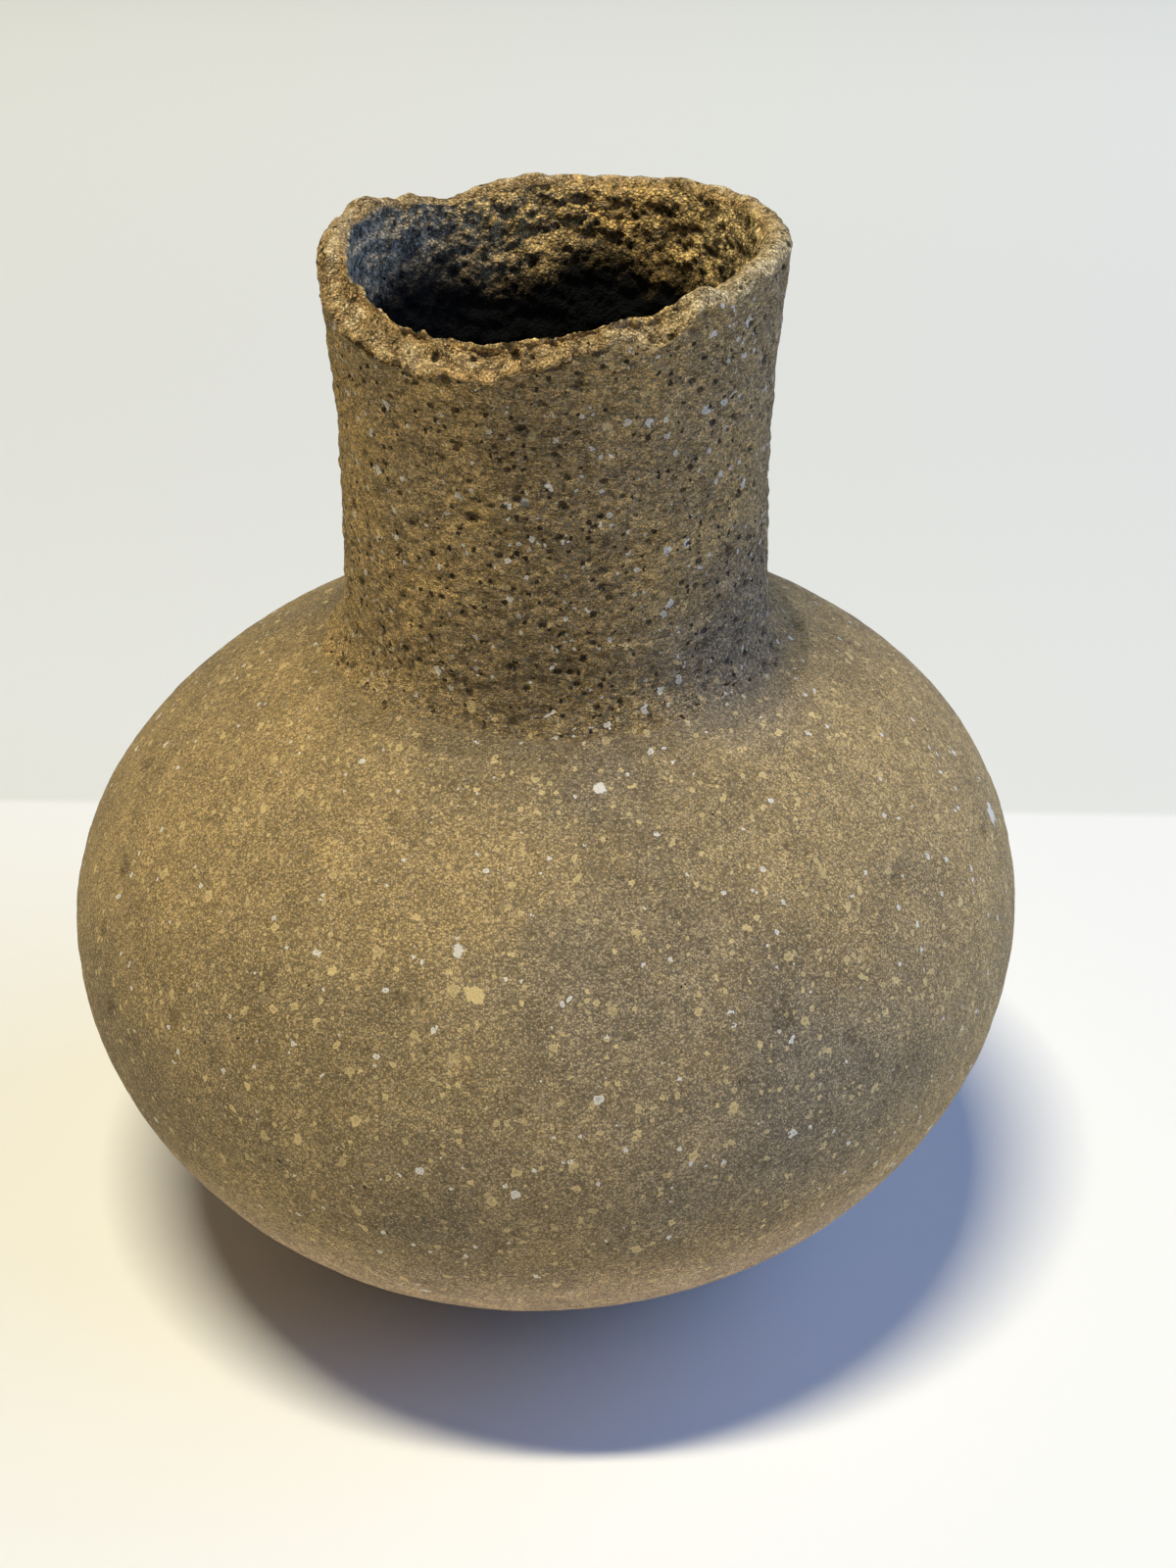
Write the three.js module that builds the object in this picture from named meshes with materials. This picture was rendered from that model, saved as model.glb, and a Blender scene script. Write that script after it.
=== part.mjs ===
import * as THREE from 'three';

const { degToRad, lerp, smoothstep, clamp } = THREE.MathUtils;

// A coil-built earthenware water bottle, in millimetres. It stands on z = 0, and its front faces -Y.

// Outline of the outside
const restRadius = 26;
const bodyRadius = 85;
const bellyDepth = 67;
const shoulderRise = 60;
const neckFootRadius = 36.4;
const neckFootBlend = 6;
const neckWaistRadius = 35.6;
const neckHeight = 68.4;
const lipRadius = 37.4;

// Thickness of the fired wall
const baseWall = 9;
const bodyWall = 6.5;
const neckWall = 6;
const lipWall = 4.6;

// Ropes of clay: each ring is bevelled where it was pressed on to the one below
const bowlReach = 30;
const bodyCoilCount = 7;
const neckCoilCount = 3;
const rimReach = 20;
const jointLap = 3;
const jointGap = 0.3;

// Unevenness left by the hand: an oval and a three-sided swell of the whole pot, and a neck set off centre
const ovalSwell = 0.6;
const ovalTurn = degToRad(45);
const trefoilSwell = 0.4;
const trefoilTurn = degToRad(30);
const neckOffset = 2;

// Worn and broken places in the lip: the way each one faces, its half width in degrees, and its depth on
// the inner and on the outer edge of the lip
const chips = [
  { facing: -126, halfWidth: 52, inside: 6, outside: 9 },
  { facing: -88, halfWidth: 45, inside: 3, outside: 3.4 },
  { facing: -65, halfWidth: 14, inside: 0.4, outside: 3 },
  { facing: -170, halfWidth: 35, inside: 1.2, outside: 3 },
  { facing: 126, halfWidth: 16, inside: 3.2, outside: 3.2 },
  { facing: 103, halfWidth: 10, inside: 1.4, outside: 1.4 },
];

// How finely the rings are divided, around the pot and along its wall
const turnSteps = 60;
const rimTurnSteps = 96;
const wallSteps = 3;
const footSteps = 6;
const lipSteps = 4;

const bodyClay = new THREE.MeshStandardMaterial({ color: 0x877459, roughness: 0.84, metalness: 0 });
const neckClay = new THREE.MeshStandardMaterial({ color: 0x74644f, roughness: 0.92, metalness: 0 });
const wornClay = new THREE.MeshStandardMaterial({ color: 0x927656, roughness: 0.95, metalness: 0 });

// The outside runs from the edge of the resting face over the belly and the shoulder, and up the neck
const restAngle = Math.acos(restRadius / bodyRadius);
const widestHeight = bellyDepth * Math.sin(restAngle);
const shoulderAngle = Math.acos((neckFootRadius + neckFootBlend) / bodyRadius);
const belly = new THREE.EllipseCurve(0, widestHeight, bodyRadius, bellyDepth, -restAngle, 0);
const shoulder = new THREE.EllipseCurve(0, widestHeight, bodyRadius, shoulderRise, 0, shoulderAngle);

const shoulderEnd = shoulder.getPoint(1);
const shoulderSlope = shoulderRise / (bodyRadius * Math.tan(shoulderAngle));
const neckCorner = new THREE.Vector2(neckFootRadius, shoulderEnd.y + neckFootBlend * shoulderSlope);
const lipHeight = neckCorner.y + neckHeight;
const lipStart = new THREE.Vector2(lipRadius, lipHeight - lipWall / 2);
const waistRadius = 2 * neckWaistRadius - (neckFootRadius + lipRadius) / 2;
const waist = new THREE.Vector2(waistRadius, (neckCorner.y + lipStart.y) / 2);
const neckStart = waist.clone().sub(neckCorner).setLength(neckFootBlend).add(neckCorner);
const neckFoot = new THREE.QuadraticBezierCurve(shoulderEnd, neckCorner, neckStart);
const neck = new THREE.QuadraticBezierCurve(neckStart, waist, lipStart);

const outline = new THREE.CurvePath();
for (const curve of [belly, shoulder, neckFoot, neck]) {
  outline.add(curve);
}
const [widestReach, shoulderReach, , lipReach] = outline.getCurveLengths();

// Places along the wall are given by their reach, the length of the outline from the resting face
function wallAt(reach) {
  const thinned = (baseWall - bodyWall) * smoothstep(reach, 0, bowlReach);
  const drawnIn = (bodyWall - neckWall) * smoothstep(reach, widestReach, shoulderReach);
  const tapered = (neckWall - lipWall) * smoothstep(reach, shoulderReach, lipReach);
  return baseWall - thinned - drawnIn - tapered;
}

function outsideAt(reach) {
  return outline.getPoint(reach / lipReach);
}

function inwardAt(reach) {
  const along = outline.getTangent(reach / lipReach);
  return new THREE.Vector2(-along.y, along.x);
}

function insideAt(reach) {
  return outsideAt(reach).addScaledVector(inwardAt(reach), wallAt(reach));
}

function pointsBetween(placeAt, from, to, steps) {
  return Array.from({ length: steps + 1 }, (_, step) => placeAt(lerp(from, to, step / steps)));
}

// Half a turn over the lip, from the outside to the inside
function lipRound() {
  const inward = inwardAt(lipReach);
  const upward = new THREE.Vector2(inward.y, -inward.x);
  const half = wallAt(lipReach) / 2;
  const angles = Array.from({ length: lipSteps - 1 }, (_, step) => (Math.PI * (step + 1)) / lipSteps);
  return angles.map((angle) =>
    outsideAt(lipReach)
      .addScaledVector(inward, half * (1 - Math.cos(angle)))
      .addScaledVector(upward, half * Math.sin(angle)),
  );
}

// A joint slopes across the wall, lower on the outside, so that each ring laps the one below it
const halfLap = jointLap / 2;
const halfGap = (jointGap * Math.hypot(jointLap, bodyWall)) / bodyWall / 2;

function bowlSection(to) {
  const outside = pointsBetween(outsideAt, 0, to - halfLap - halfGap, wallSteps);
  const inside = pointsBetween(insideAt, to + halfLap - halfGap, 0, wallSteps);
  return [new THREE.Vector2(0, 0), ...outside, ...inside, new THREE.Vector2(0, baseWall)];
}

function ringSection(from, to, steps) {
  const outside = pointsBetween(outsideAt, from - halfLap + halfGap, to - halfLap - halfGap, steps);
  const inside = pointsBetween(insideAt, to + halfLap - halfGap, from + halfLap + halfGap, steps);
  return [...outside, ...inside, outside[0]];
}

function rimSection(from) {
  const outside = pointsBetween(outsideAt, from - halfLap + halfGap, lipReach, wallSteps);
  const inside = pointsBetween(insideAt, lipReach, from + halfLap + halfGap, wallSteps);
  return [...outside, ...lipRound(), ...inside, outside[0]];
}

function turned(section, steps) {
  return new THREE.LatheGeometry(section, steps).rotateX(Math.PI / 2);
}

function moveVertices(geometry, move) {
  const places = geometry.attributes.position;
  const point = new THREE.Vector3();
  for (let index = 0; index < places.count; index += 1) {
    point.fromBufferAttribute(places, index);
    move(point);
    places.setXYZ(index, point.x, point.y, point.z);
  }
  return geometry;
}

function chipDepth(direction, outward) {
  let depth = 0;
  for (const { facing, halfWidth, inside, outside } of chips) {
    const apart = THREE.MathUtils.euclideanModulo(direction - facing + 180, 360) - 180;
    const near = clamp(Math.abs(apart) / halfWidth, 0, 1);
    depth += lerp(inside, outside, outward) * Math.cos((near * Math.PI) / 2) ** 2;
  }
  return depth;
}

// The rim keeps its joint and is lowered above it, most at the lip and where a chip is deepest
const rimFloor = insideAt(lipReach - rimReach + halfLap + halfGap).y;

function wearLip(point) {
  const direction = THREE.MathUtils.radToDeg(Math.atan2(point.y, point.x));
  const outward = clamp((Math.hypot(point.x, point.y) - lipRadius + lipWall) / lipWall, 0, 1);
  const height = clamp((point.z - rimFloor) / (lipHeight - rimFloor), 0, 1);
  point.z -= height * chipDepth(direction, outward);
}

function shapeByHand(point) {
  const direction = Math.atan2(point.y, point.x);
  const oval = ovalSwell * Math.cos(2 * (direction - ovalTurn));
  const trefoil = trefoilSwell * Math.cos(3 * (direction - trefoilTurn));
  const swell = 1 + (oval + trefoil) / bodyRadius;
  point.x = point.x * swell + neckOffset * smoothstep(point.z, widestHeight, neckCorner.y);
  point.y *= swell;
}

const bottle = new THREE.Group();

function addRing(name, geometry, material) {
  const ring = new THREE.Mesh(moveVertices(geometry, shapeByHand), material);
  ring.name = name;
  bottle.add(ring);
}

function addCoils(name, count, from, to, stepsOf, material) {
  for (let index = 0; index < count; index += 1) {
    const low = lerp(from, to, index / count);
    const high = lerp(from, to, (index + 1) / count);
    addRing(`${name}_${index + 1}`, turned(ringSection(low, high, stepsOf(index)), turnSteps), material);
  }
}

addRing('base_bowl', turned(bowlSection(bowlReach), turnSteps), bodyClay);
addCoils('body_coil', bodyCoilCount, bowlReach, shoulderReach, () => wallSteps, bodyClay);
const neckSteps = (index) => (index === 0 ? footSteps : wallSteps);
addCoils('neck_coil', neckCoilCount, shoulderReach, lipReach - rimReach, neckSteps, neckClay);
const rim = turned(rimSection(lipReach - rimReach), rimTurnSteps);
addRing('rim_coil', moveVertices(rim, wearLip), wornClay);

export default bottle;
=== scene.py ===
import itertools
import math

import bmesh
import bpy
import numpy as np
from bpy.props import FloatProperty, FloatVectorProperty, IntProperty, PointerProperty
from mathutils import Matrix, Vector


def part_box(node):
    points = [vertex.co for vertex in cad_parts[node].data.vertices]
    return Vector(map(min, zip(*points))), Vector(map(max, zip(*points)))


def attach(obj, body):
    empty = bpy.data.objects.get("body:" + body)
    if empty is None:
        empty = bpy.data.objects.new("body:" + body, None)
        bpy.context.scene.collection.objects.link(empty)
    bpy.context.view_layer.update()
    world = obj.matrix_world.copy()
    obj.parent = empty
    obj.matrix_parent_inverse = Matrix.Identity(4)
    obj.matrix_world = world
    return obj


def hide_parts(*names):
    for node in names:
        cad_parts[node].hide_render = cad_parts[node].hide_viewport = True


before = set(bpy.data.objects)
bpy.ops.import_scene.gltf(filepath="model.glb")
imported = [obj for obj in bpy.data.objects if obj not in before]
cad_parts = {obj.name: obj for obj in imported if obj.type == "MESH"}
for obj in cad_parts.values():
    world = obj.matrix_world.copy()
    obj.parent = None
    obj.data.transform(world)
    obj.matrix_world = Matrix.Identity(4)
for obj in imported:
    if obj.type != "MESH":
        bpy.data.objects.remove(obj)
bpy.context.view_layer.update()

bl_info = {
    "name": "Earthenware Water Bottle",
    "version": (1, 0, 0),
    "blender": (4, 5, 0),
    "location": "3D View > Sidebar > Bottle",
    "description": "Models the clay rings of a hand-built water bottle, their finish and a plain stage",
    "category": "Add Mesh",
}

MILLIMETRE = 0.001
BODY_COILS = [name for name in sorted(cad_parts) if name.startswith("body_coil")]
NECK_COILS = [name for name in sorted(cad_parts) if name.startswith("neck_coil")]


def span(node):
    """The size of a CAD ring along each axis"""
    low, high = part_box(node)
    return high - low


def middle(node):
    """The centre of a CAD ring"""
    low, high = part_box(node)
    return (low + high) / 2


BODY_RADIUS = max(span(name).x for name in BODY_COILS) / 2
LIP_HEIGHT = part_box("rim_coil")[1].z
NECK_OFFSET = middle(NECK_COILS[-1]).x
OVAL_TURN = math.radians(45)
TREFOIL_TURN = math.radians(30)

# Worn and broken places in the lip: the way each one faces and its half width in degrees, and its depth in
# millimetres on the inner and on the outer edge of the lip
CHIPS = [
    (-126, 52, 6, 9),
    (-88, 45, 3, 3.4),
    (-65, 14, 0.4, 3),
    (-170, 35, 1.2, 3),
    (126, 16, 2.1, 2.1),
    (103, 10, 0.2, 0.2),
    (141, 10, 1.3, 1.3),
    (113, 14, 1.8, 1.8),
    (84, 34, 1.3, 1.3),
    (-123, 7, 0, 1.5),
    (-42, 26, 1.2, 1),
]


def srgb(*levels):
    """A colour given in display levels from 0 to 255, as the linear colour that sockets hold"""
    shares = [level / 255 for level in levels]
    return tuple(s / 12.92 if s <= 0.04045 else ((s + 0.055) / 1.055) ** 2.4 for s in shares)


def size_of(name, description, millimetres):
    default = millimetres * MILLIMETRE
    return FloatProperty(name=name, description=description, default=default, unit="LENGTH", precision=5)


def colour_of(name, description, *levels):
    default = srgb(*levels)
    return FloatVectorProperty(
        name=name, description=description, default=default, subtype="COLOR", size=3, min=0, max=1
    )


def light_of(name, description, default, unit="POWER"):
    return FloatProperty(name=name, description=description, default=default, min=0, unit=unit)


class BottleShape(bpy.types.PropertyGroup):
    """Sizes of the turned wall, which repeat those of the CAD solids"""

    rest_radius: size_of("Rest radius", "Radius of the flat face that the bottle stands on", 26)
    belly_depth: size_of("Belly depth", "Lower half of the body, before its foot is flattened", 67)
    shoulder_rise: size_of("Shoulder rise", "Upper half of the body, before the neck cuts it", 60)
    neck_foot_radius: size_of("Neck foot radius", "Radius of the neck where it leaves the body", 36.4)
    neck_foot_blend: size_of("Neck foot blend", "How far the neck's foot is blended each way", 6)
    neck_waist_radius: size_of("Neck waist radius", "Radius of the neck at its waist", 35.6)
    lip_radius: size_of("Lip radius", "Radius of the outside of the lip", 37.4)
    base_wall: size_of("Base wall", "Thickness of the base", 9)
    body_wall: size_of("Body wall", "Thickness of the body", 6.5)
    neck_wall: size_of("Neck wall", "Thickness of the neck at its foot", 6)
    lip_wall: size_of("Lip wall", "Thickness of the lip", 4.6)
    bowl_reach: size_of("Bowl reach", "Length of the base bowl's wall, along the outline", 30)
    rim_reach: size_of("Rim reach", "Length of the last ring's wall, along the outline", 20)
    joint_lap: size_of("Joint lap", "How much lower a joint lies outside than inside", 3)
    oval_swell: size_of("Oval swell", "How far the pot swells and shrinks to an oval", 0.6)
    trefoil_swell: size_of("Trefoil swell", "How far the pot swells to three sides", 0.4)


class BottleSurface(bpy.types.PropertyGroup):
    """Sizes of the relief that the hand, the sand and the wear left on the clay"""

    body_steps: IntProperty(name="Body steps", description="Steps round the body", default=900, min=60)
    neck_steps: IntProperty(name="Neck steps", description="Steps round the neck", default=720, min=60)
    body_row: size_of("Body row", "Height of the rows of faces outside the body", 0.62)
    neck_row: size_of("Neck row", "Height of the rows of faces on the neck", 0.4)
    hidden_row: size_of("Hidden row", "Height of the rows of faces inside the body", 3)
    dents: size_of("Dents", "Depth of the broad dents left by the fingers", 0.3)
    scraping: size_of("Scraping", "Depth of the level marks of the scraper on the body", 0.1)
    sand: size_of("Sand", "Height of the sandy grain on the body", 0.07)
    crumble: size_of("Crumble", "Height of the crumbled grain on the neck", 0.3)
    flaking: size_of("Flaking", "Depth of the flaked clay inside the neck", 0.7)
    fracture: size_of("Fracture", "Roughness of the broken lip", 0.7)
    nibbles: size_of("Nibbles", "Depth of the small losses all along the lip", 1)
    scallops: size_of("Scallops", "Depth of the scallops along the outer edge of the break", 1.6)


class BottleColours(bpy.types.PropertyGroup):
    """Colours of the fired clay and of what is in it"""

    olive: colour_of("Olive", "Most of the body", 152, 131, 93)
    tan: colour_of("Tan", "The warmer patches of the body", 187, 158, 105)
    ash: colour_of("Ash", "The greyer patches of the body", 132, 120, 101)
    # Pinkish tone of the foot, made paler as painted reflected light from the table below
    buff: colour_of("Buff", "The pinkish foot of the body", 210, 180, 144)
    umber: colour_of("Umber", "Most of the neck", 190, 160, 108)
    ochre: colour_of("Ochre", "The lighter grains of the neck", 222, 182, 108)
    smoke: colour_of("Smoke", "The fire clouds", 122, 119, 112)
    # Near black, partly sooty clay and partly painted shade inside the body and low in the neck
    soot: colour_of("Soot", "The sooty clay down the neck", 3, 3, 3)
    worn: colour_of("Worn", "The worn and broken lip", 200, 162, 104)
    core: colour_of("Core", "The pale core of the broken lip", 230, 210, 162)
    fleck: colour_of("Fleck", "The yellow flecks of temper", 232, 204, 142)
    shell: colour_of("Shell", "The white flecks of temper", 238, 230, 212)
    # The pit colour is also the painted shade and dirt in the pits and hollows of the clay
    pit: colour_of("Pit", "The bottoms of the small pits", 26, 21, 16)


class BottleStage(bpy.types.PropertyGroup):
    """The lamps and the table"""

    table: colour_of("Table", "The table that the bottle stands on", 248, 246, 238)
    wall: colour_of("Wall", "The pale grey behind the table", 232, 231, 222)
    # Painted light: paler, to make up for the lamp's light falling off far behind the table
    distance: colour_of("Distance", "The ground far behind the table, which gets less light", 255, 253, 240)
    roomlight: colour_of("Room light", "The soft light of the room", 165, 200, 255)
    lamplight: colour_of("Lamplight", "The warm light of the lamp overhead", 255, 248, 225)
    daylight: colour_of("Daylight", "The cool light of the window on the right", 134, 177, 255)
    room_strength: light_of("Room strength", "Strength of the light of the room", 0.05, "NONE")
    lamp_power: light_of("Lamp power", "Power of the lamp overhead", 86)
    window_power: light_of("Window power", "Power of the window's light", 36.5)
    table_edge: size_of("Table edge", "Distance of the table's far edge from the bottle", 134.5)


# The wall's outline

OUTLINE_STEPS = 400


def ellipse(centre_height, rise, start, end):
    turn = np.linspace(start, end, OUTLINE_STEPS)
    return np.stack([BODY_RADIUS * np.cos(turn), centre_height + rise * np.sin(turn)], axis=1)


def bend(start, corner, end):
    """A smooth bend that leaves start towards corner and arrives at end from it"""
    along = np.linspace(0, 1, OUTLINE_STEPS)[:, None]
    return (1 - along) ** 2 * start + 2 * along * (1 - along) * corner + along**2 * end


def ramp(value, low, high):
    """0 below low, 1 above high, and smooth between them"""
    share = np.clip((value - low) / (high - low), 0, 1)
    return share * share * (3 - 2 * share)


class Wall:
    """The turned wall, whose places are given by their reach, the length of its outside from the base"""

    def __init__(self, shape):
        self.shape = shape
        rest_angle = math.acos(shape.rest_radius / BODY_RADIUS)
        self.widest_height = shape.belly_depth * math.sin(rest_angle)
        shoulder_angle = math.acos((shape.neck_foot_radius + shape.neck_foot_blend) / BODY_RADIUS)
        belly = ellipse(self.widest_height, shape.belly_depth, -rest_angle, 0)
        shoulder = ellipse(self.widest_height, shape.shoulder_rise, 0, shoulder_angle)
        slope = shape.shoulder_rise / (BODY_RADIUS * math.tan(shoulder_angle))
        corner = np.array([shape.neck_foot_radius, shoulder[-1, 1] + shape.neck_foot_blend * slope])
        lip = np.array([shape.lip_radius, LIP_HEIGHT - shape.lip_wall / 2])
        waist_radius = 2 * shape.neck_waist_radius - (shape.neck_foot_radius + shape.lip_radius) / 2
        waist = np.array([waist_radius, (corner[1] + lip[1]) / 2])
        neck_start = corner + (waist - corner) * shape.neck_foot_blend / np.linalg.norm(waist - corner)
        foot = bend(shoulder[-1], corner, neck_start)
        neck = bend(neck_start, waist, lip)
        self.corner_height = corner[1]
        self.places = np.concatenate([belly, shoulder[1:], foot[1:], neck[1:]])
        steps = np.linalg.norm(np.diff(self.places, axis=0), axis=1)
        self.reaches = np.concatenate([[0], np.cumsum(steps)])
        self.widest_reach = self.reaches[len(belly) - 1]
        self.shoulder_reach = self.reaches[len(belly) + len(shoulder) - 2]
        self.lip_reach = self.reaches[-1]
        along = np.gradient(self.places, self.reaches, axis=0)
        self.inwards = np.stack([-along[:, 1], along[:, 0]], axis=1)

    def outside(self, reach):
        return np.array([np.interp(reach, self.reaches, column) for column in self.places.T])

    def inward(self, reach):
        return np.array([np.interp(reach, self.reaches, column) for column in self.inwards.T])

    def thickness(self, reach):
        shape = self.shape
        thinned = (shape.base_wall - shape.body_wall) * ramp(reach, 0, shape.bowl_reach)
        drawn_in = (shape.body_wall - shape.neck_wall) * ramp(reach, self.widest_reach, self.shoulder_reach)
        tapered = (shape.neck_wall - shape.lip_wall) * ramp(reach, self.shoulder_reach, self.lip_reach)
        return shape.base_wall - thinned - drawn_in - tapered

    def inside(self, reach):
        return self.outside(reach) + self.inward(reach) * self.thickness(reach)

    def over_lip(self, turn):
        """A place on the half round of the lip, from 0 outside to pi inside"""
        inward = self.inward(self.lip_reach)
        upward = np.array([inward[1], -inward[0]])
        half = self.thickness(self.lip_reach) / 2
        rounded = (1 - math.cos(turn)) * inward + math.sin(turn) * upward
        return self.outside(self.lip_reach) + half * rounded


# A ring's section is a list of rows. A tucked row runs on past a joint while the relief is made, so that
# the shading goes on smoothly to the next ring, and is then folded into the joint.

def row(place, reach, inside, tucked=False):
    return {"radius": place[0], "height": place[1], "reach": reach, "inside": inside, "tucked": tucked}


def steps_between(start, end, spacing):
    return np.linspace(start, end, max(2, round(abs(end - start) / spacing) + 1))


def wall_rows(place, inside, start, end, spacing):
    """Rows along the outside or the inside of the wall, whichever places them"""
    return [row(place(reach), reach, inside) for reach in steps_between(start, end, spacing)]


def tucked_row(wall, edge, neighbour):
    """The row that runs on past the edge of a strip, as far again as its neighbour"""
    reach = 2 * edge["reach"] - neighbour["reach"]
    place = wall.inside if edge["inside"] else wall.outside
    return row(place(reach), reach, edge["inside"], True)


def coil_strips(wall, low, high, spacing, inner_spacing):
    lap = wall.shape.joint_lap / 2
    strips = [
        wall_rows(wall.outside, 0, low - lap, high - lap, spacing),
        wall_rows(wall.inside, 1, high + lap, low + lap, inner_spacing),
    ]
    return [
        [tucked_row(wall, strip[0], strip[1]), *strip, tucked_row(wall, strip[-1], strip[-2])]
        for strip in strips
    ]


def bowl_strips(wall, high, spacing, inner_spacing):
    shape = wall.shape
    lap = shape.joint_lap / 2
    outside = wall_rows(wall.outside, 0, 0, high - lap, spacing)
    inside = wall_rows(wall.inside, 1, high + lap, 0, inner_spacing)
    sole = [row((radius, 0), 0, 0) for radius in steps_between(0, shape.rest_radius, spacing * 2)[:-1]]
    edge = inside[-1]
    radii = steps_between(edge["radius"], 0, inner_spacing)[1:]
    heights = np.linspace(edge["height"], shape.base_wall, len(radii) + 1)[1:]
    floor = [row(place, 0, 1) for place in zip(radii, heights)]
    return [
        [*sole, *outside, tucked_row(wall, outside[-1], outside[-2])],
        [tucked_row(wall, inside[0], inside[1]), *inside, *floor],
    ]


def rim_strips(wall, low, spacing):
    lap = wall.shape.joint_lap / 2
    outside = wall_rows(wall.outside, 0, low - lap, wall.lip_reach, spacing)
    inside = wall_rows(wall.inside, 1, wall.lip_reach, low + lap, spacing)
    turns = steps_between(0, math.pi, spacing / (wall.shape.lip_wall / 2))[1:-1]
    lip = [row(wall.over_lip(turn), wall.lip_reach, turn / math.pi) for turn in turns]
    first = tucked_row(wall, outside[0], outside[1])
    last = tucked_row(wall, inside[-1], inside[-2])
    return [[first, *outside, *lip, *inside, last]]


# Soft noise and pits, which depend on the place alone, so that rings that meet agree

TILT = np.array(Matrix.Rotation(0.7, 3, Vector((1, 2, 3))))
CELL_PRIMES = np.array([73856093, 19349663, 83492791])
DRAW_PRIME = 668265263
STIRRING_PRIME = 1274126177
HIGHEST_LOT = 0xFFFF


def lots(cells, draw):
    """A steady lot from 0 to 1 for each whole-numbered cell, another one for each draw"""
    keys = np.bitwise_xor.reduce(cells * CELL_PRIMES, axis=-1) + draw * DRAW_PRIME
    keys = (keys ^ (keys >> 13)) * STIRRING_PRIME
    return ((keys ^ (keys >> 16)) & HIGHEST_LOT) / HIGHEST_LOT


def lumps(points, size, draw, flat=1):
    """Soft noise from -1 to 1 in lumps about size millimetres wide, and flat times lower than that"""
    places = (points * (1, 1, flat) / (size * MILLIMETRE)) @ TILT
    home = np.floor(places).astype(np.int64)
    share = places - home
    share = share * share * (3 - 2 * share)
    total = np.zeros(points.shape[:-1])
    for corner in itertools.product((0, 1), repeat=3):
        weight = np.prod(np.where(corner, share, 1 - share), axis=-1)
        total += weight * lots(home + corner, draw)
    return 2 * total - 1


def flakes(points, size, draw, flat=1):
    """Small terraces with steep edges, from -1 to 1"""
    height = 2.5 * lumps(points, size, draw, flat)
    step = np.floor(height)
    return (step + ramp(height - step, 0.6, 1.0)) / 2.5


def ridges(points, size, draw, flat=1):
    """Sharp ridges round smooth hollows, from -1 to 1"""
    return 1 - 2 * np.abs(lumps(points, size, draw, flat))


def pits(points, spacing, share, draw, flat=1):
    """Depth from 0 to 1 of round pits, in that share of the cells, which are spacing millimetres apart"""
    places = (points * (1, 1, flat) / (spacing * MILLIMETRE)) @ TILT
    home = np.floor(places - 0.5).astype(np.int64)
    depth = np.zeros(points.shape[:-1])
    for corner in itertools.product((0, 1), repeat=3):
        cell = home + corner
        centre = cell + np.stack([lots(cell, draw + axis) for axis in range(3)], axis=-1)
        width = 0.15 + 0.35 * lots(cell, draw + 3)
        apart = np.linalg.norm(places - centre, axis=-1) / width
        taken = lots(cell, draw + 4) < share
        depth = np.maximum(depth, taken * np.clip(1 - apart**2, 0, 1) * width / 0.5)
    return depth


# The finer shape of a ring, worked out on its vertices as a grid of rows by steps

def chip_depth(direction, outward):
    """How much of the lip is lost, facing a direction in degrees, from 0 inside to 1 outside"""
    depth = np.zeros(direction.shape)
    for facing, half_width, inside, outside in CHIPS:
        apart = (direction - facing + 180) % 360 - 180
        near = np.clip(np.abs(apart) / half_width, 0, 1)
        depth += (inside + (outside - inside) * outward) * np.cos(near * math.pi / 2) ** 2
    return depth * MILLIMETRE


def wear_lip(places, wall, surface, inside):
    """Lowers the rim to its chips and flattens the lip there; tells where it is worn and where broken"""
    shape = wall.shape
    floor_height = wall.inside(wall.lip_reach - shape.rim_reach + shape.joint_lap / 2)[1]
    direction = np.degrees(np.arctan2(places[..., 1], places[..., 0]))
    radius = np.hypot(places[..., 0], places[..., 1])
    outward = np.clip((radius - shape.lip_radius + shape.lip_wall) / shape.lip_wall, 0, 1)
    height = np.clip((places[..., 2] - floor_height) / (LIP_HEIGHT - floor_height), 0, 1)
    chipped = ramp(chip_depth(direction, 0.5), 1.2 * MILLIMETRE, 3.2 * MILLIMETRE)
    crest = np.stack([np.cos(np.radians(direction)), np.sin(np.radians(direction)), 0 * radius], axis=-1)
    crest *= shape.lip_radius
    ragged = 0.6 * lumps(crest, 6.5, 40) + 0.4 * lumps(crest, 2.6, 41)
    scalloped = np.abs(lumps(crest, 5.5, 42)) + 0.3 * lumps(crest, 1.7, 43)
    depth = chip_depth(direction, outward) + surface.nibbles * np.clip(ragged + 0.25, 0, 1)
    deeply = ramp(chip_depth(direction, 0.5), 2.5 * MILLIMETRE, 5.5 * MILLIMETRE)
    depth += surface.scallops * (0.35 * chipped + 0.65 * deeply) * outward * scalloped
    arch = np.sin(inside * math.pi)
    places[..., 2] -= height * depth + 0.85 * chipped * arch * shape.lip_wall / 2
    lip = ramp(arch, 0, 0.35)
    spalled = deeply * (1 - inside) * ramp(height + 0.12 * ragged, 0.76, 0.82)
    worn = np.maximum(0.35 * ramp(height, 0.93, 1), spalled)
    return lip * (0.5 + 0.5 * chipped) + (1 - lip) * worn, np.maximum(lip * chipped, spalled)


def shape_by_hand(places, wall):
    shape = wall.shape
    direction = np.arctan2(places[..., 1], places[..., 0])
    oval = shape.oval_swell * np.cos(2 * (direction - OVAL_TURN))
    trefoil = shape.trefoil_swell * np.cos(3 * (direction - TREFOIL_TURN))
    places[..., :2] *= 1 + ((oval + trefoil) / BODY_RADIUS)[..., None]
    places[..., 0] += NECK_OFFSET * ramp(places[..., 2], wall.widest_height, wall.corner_height)


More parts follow.
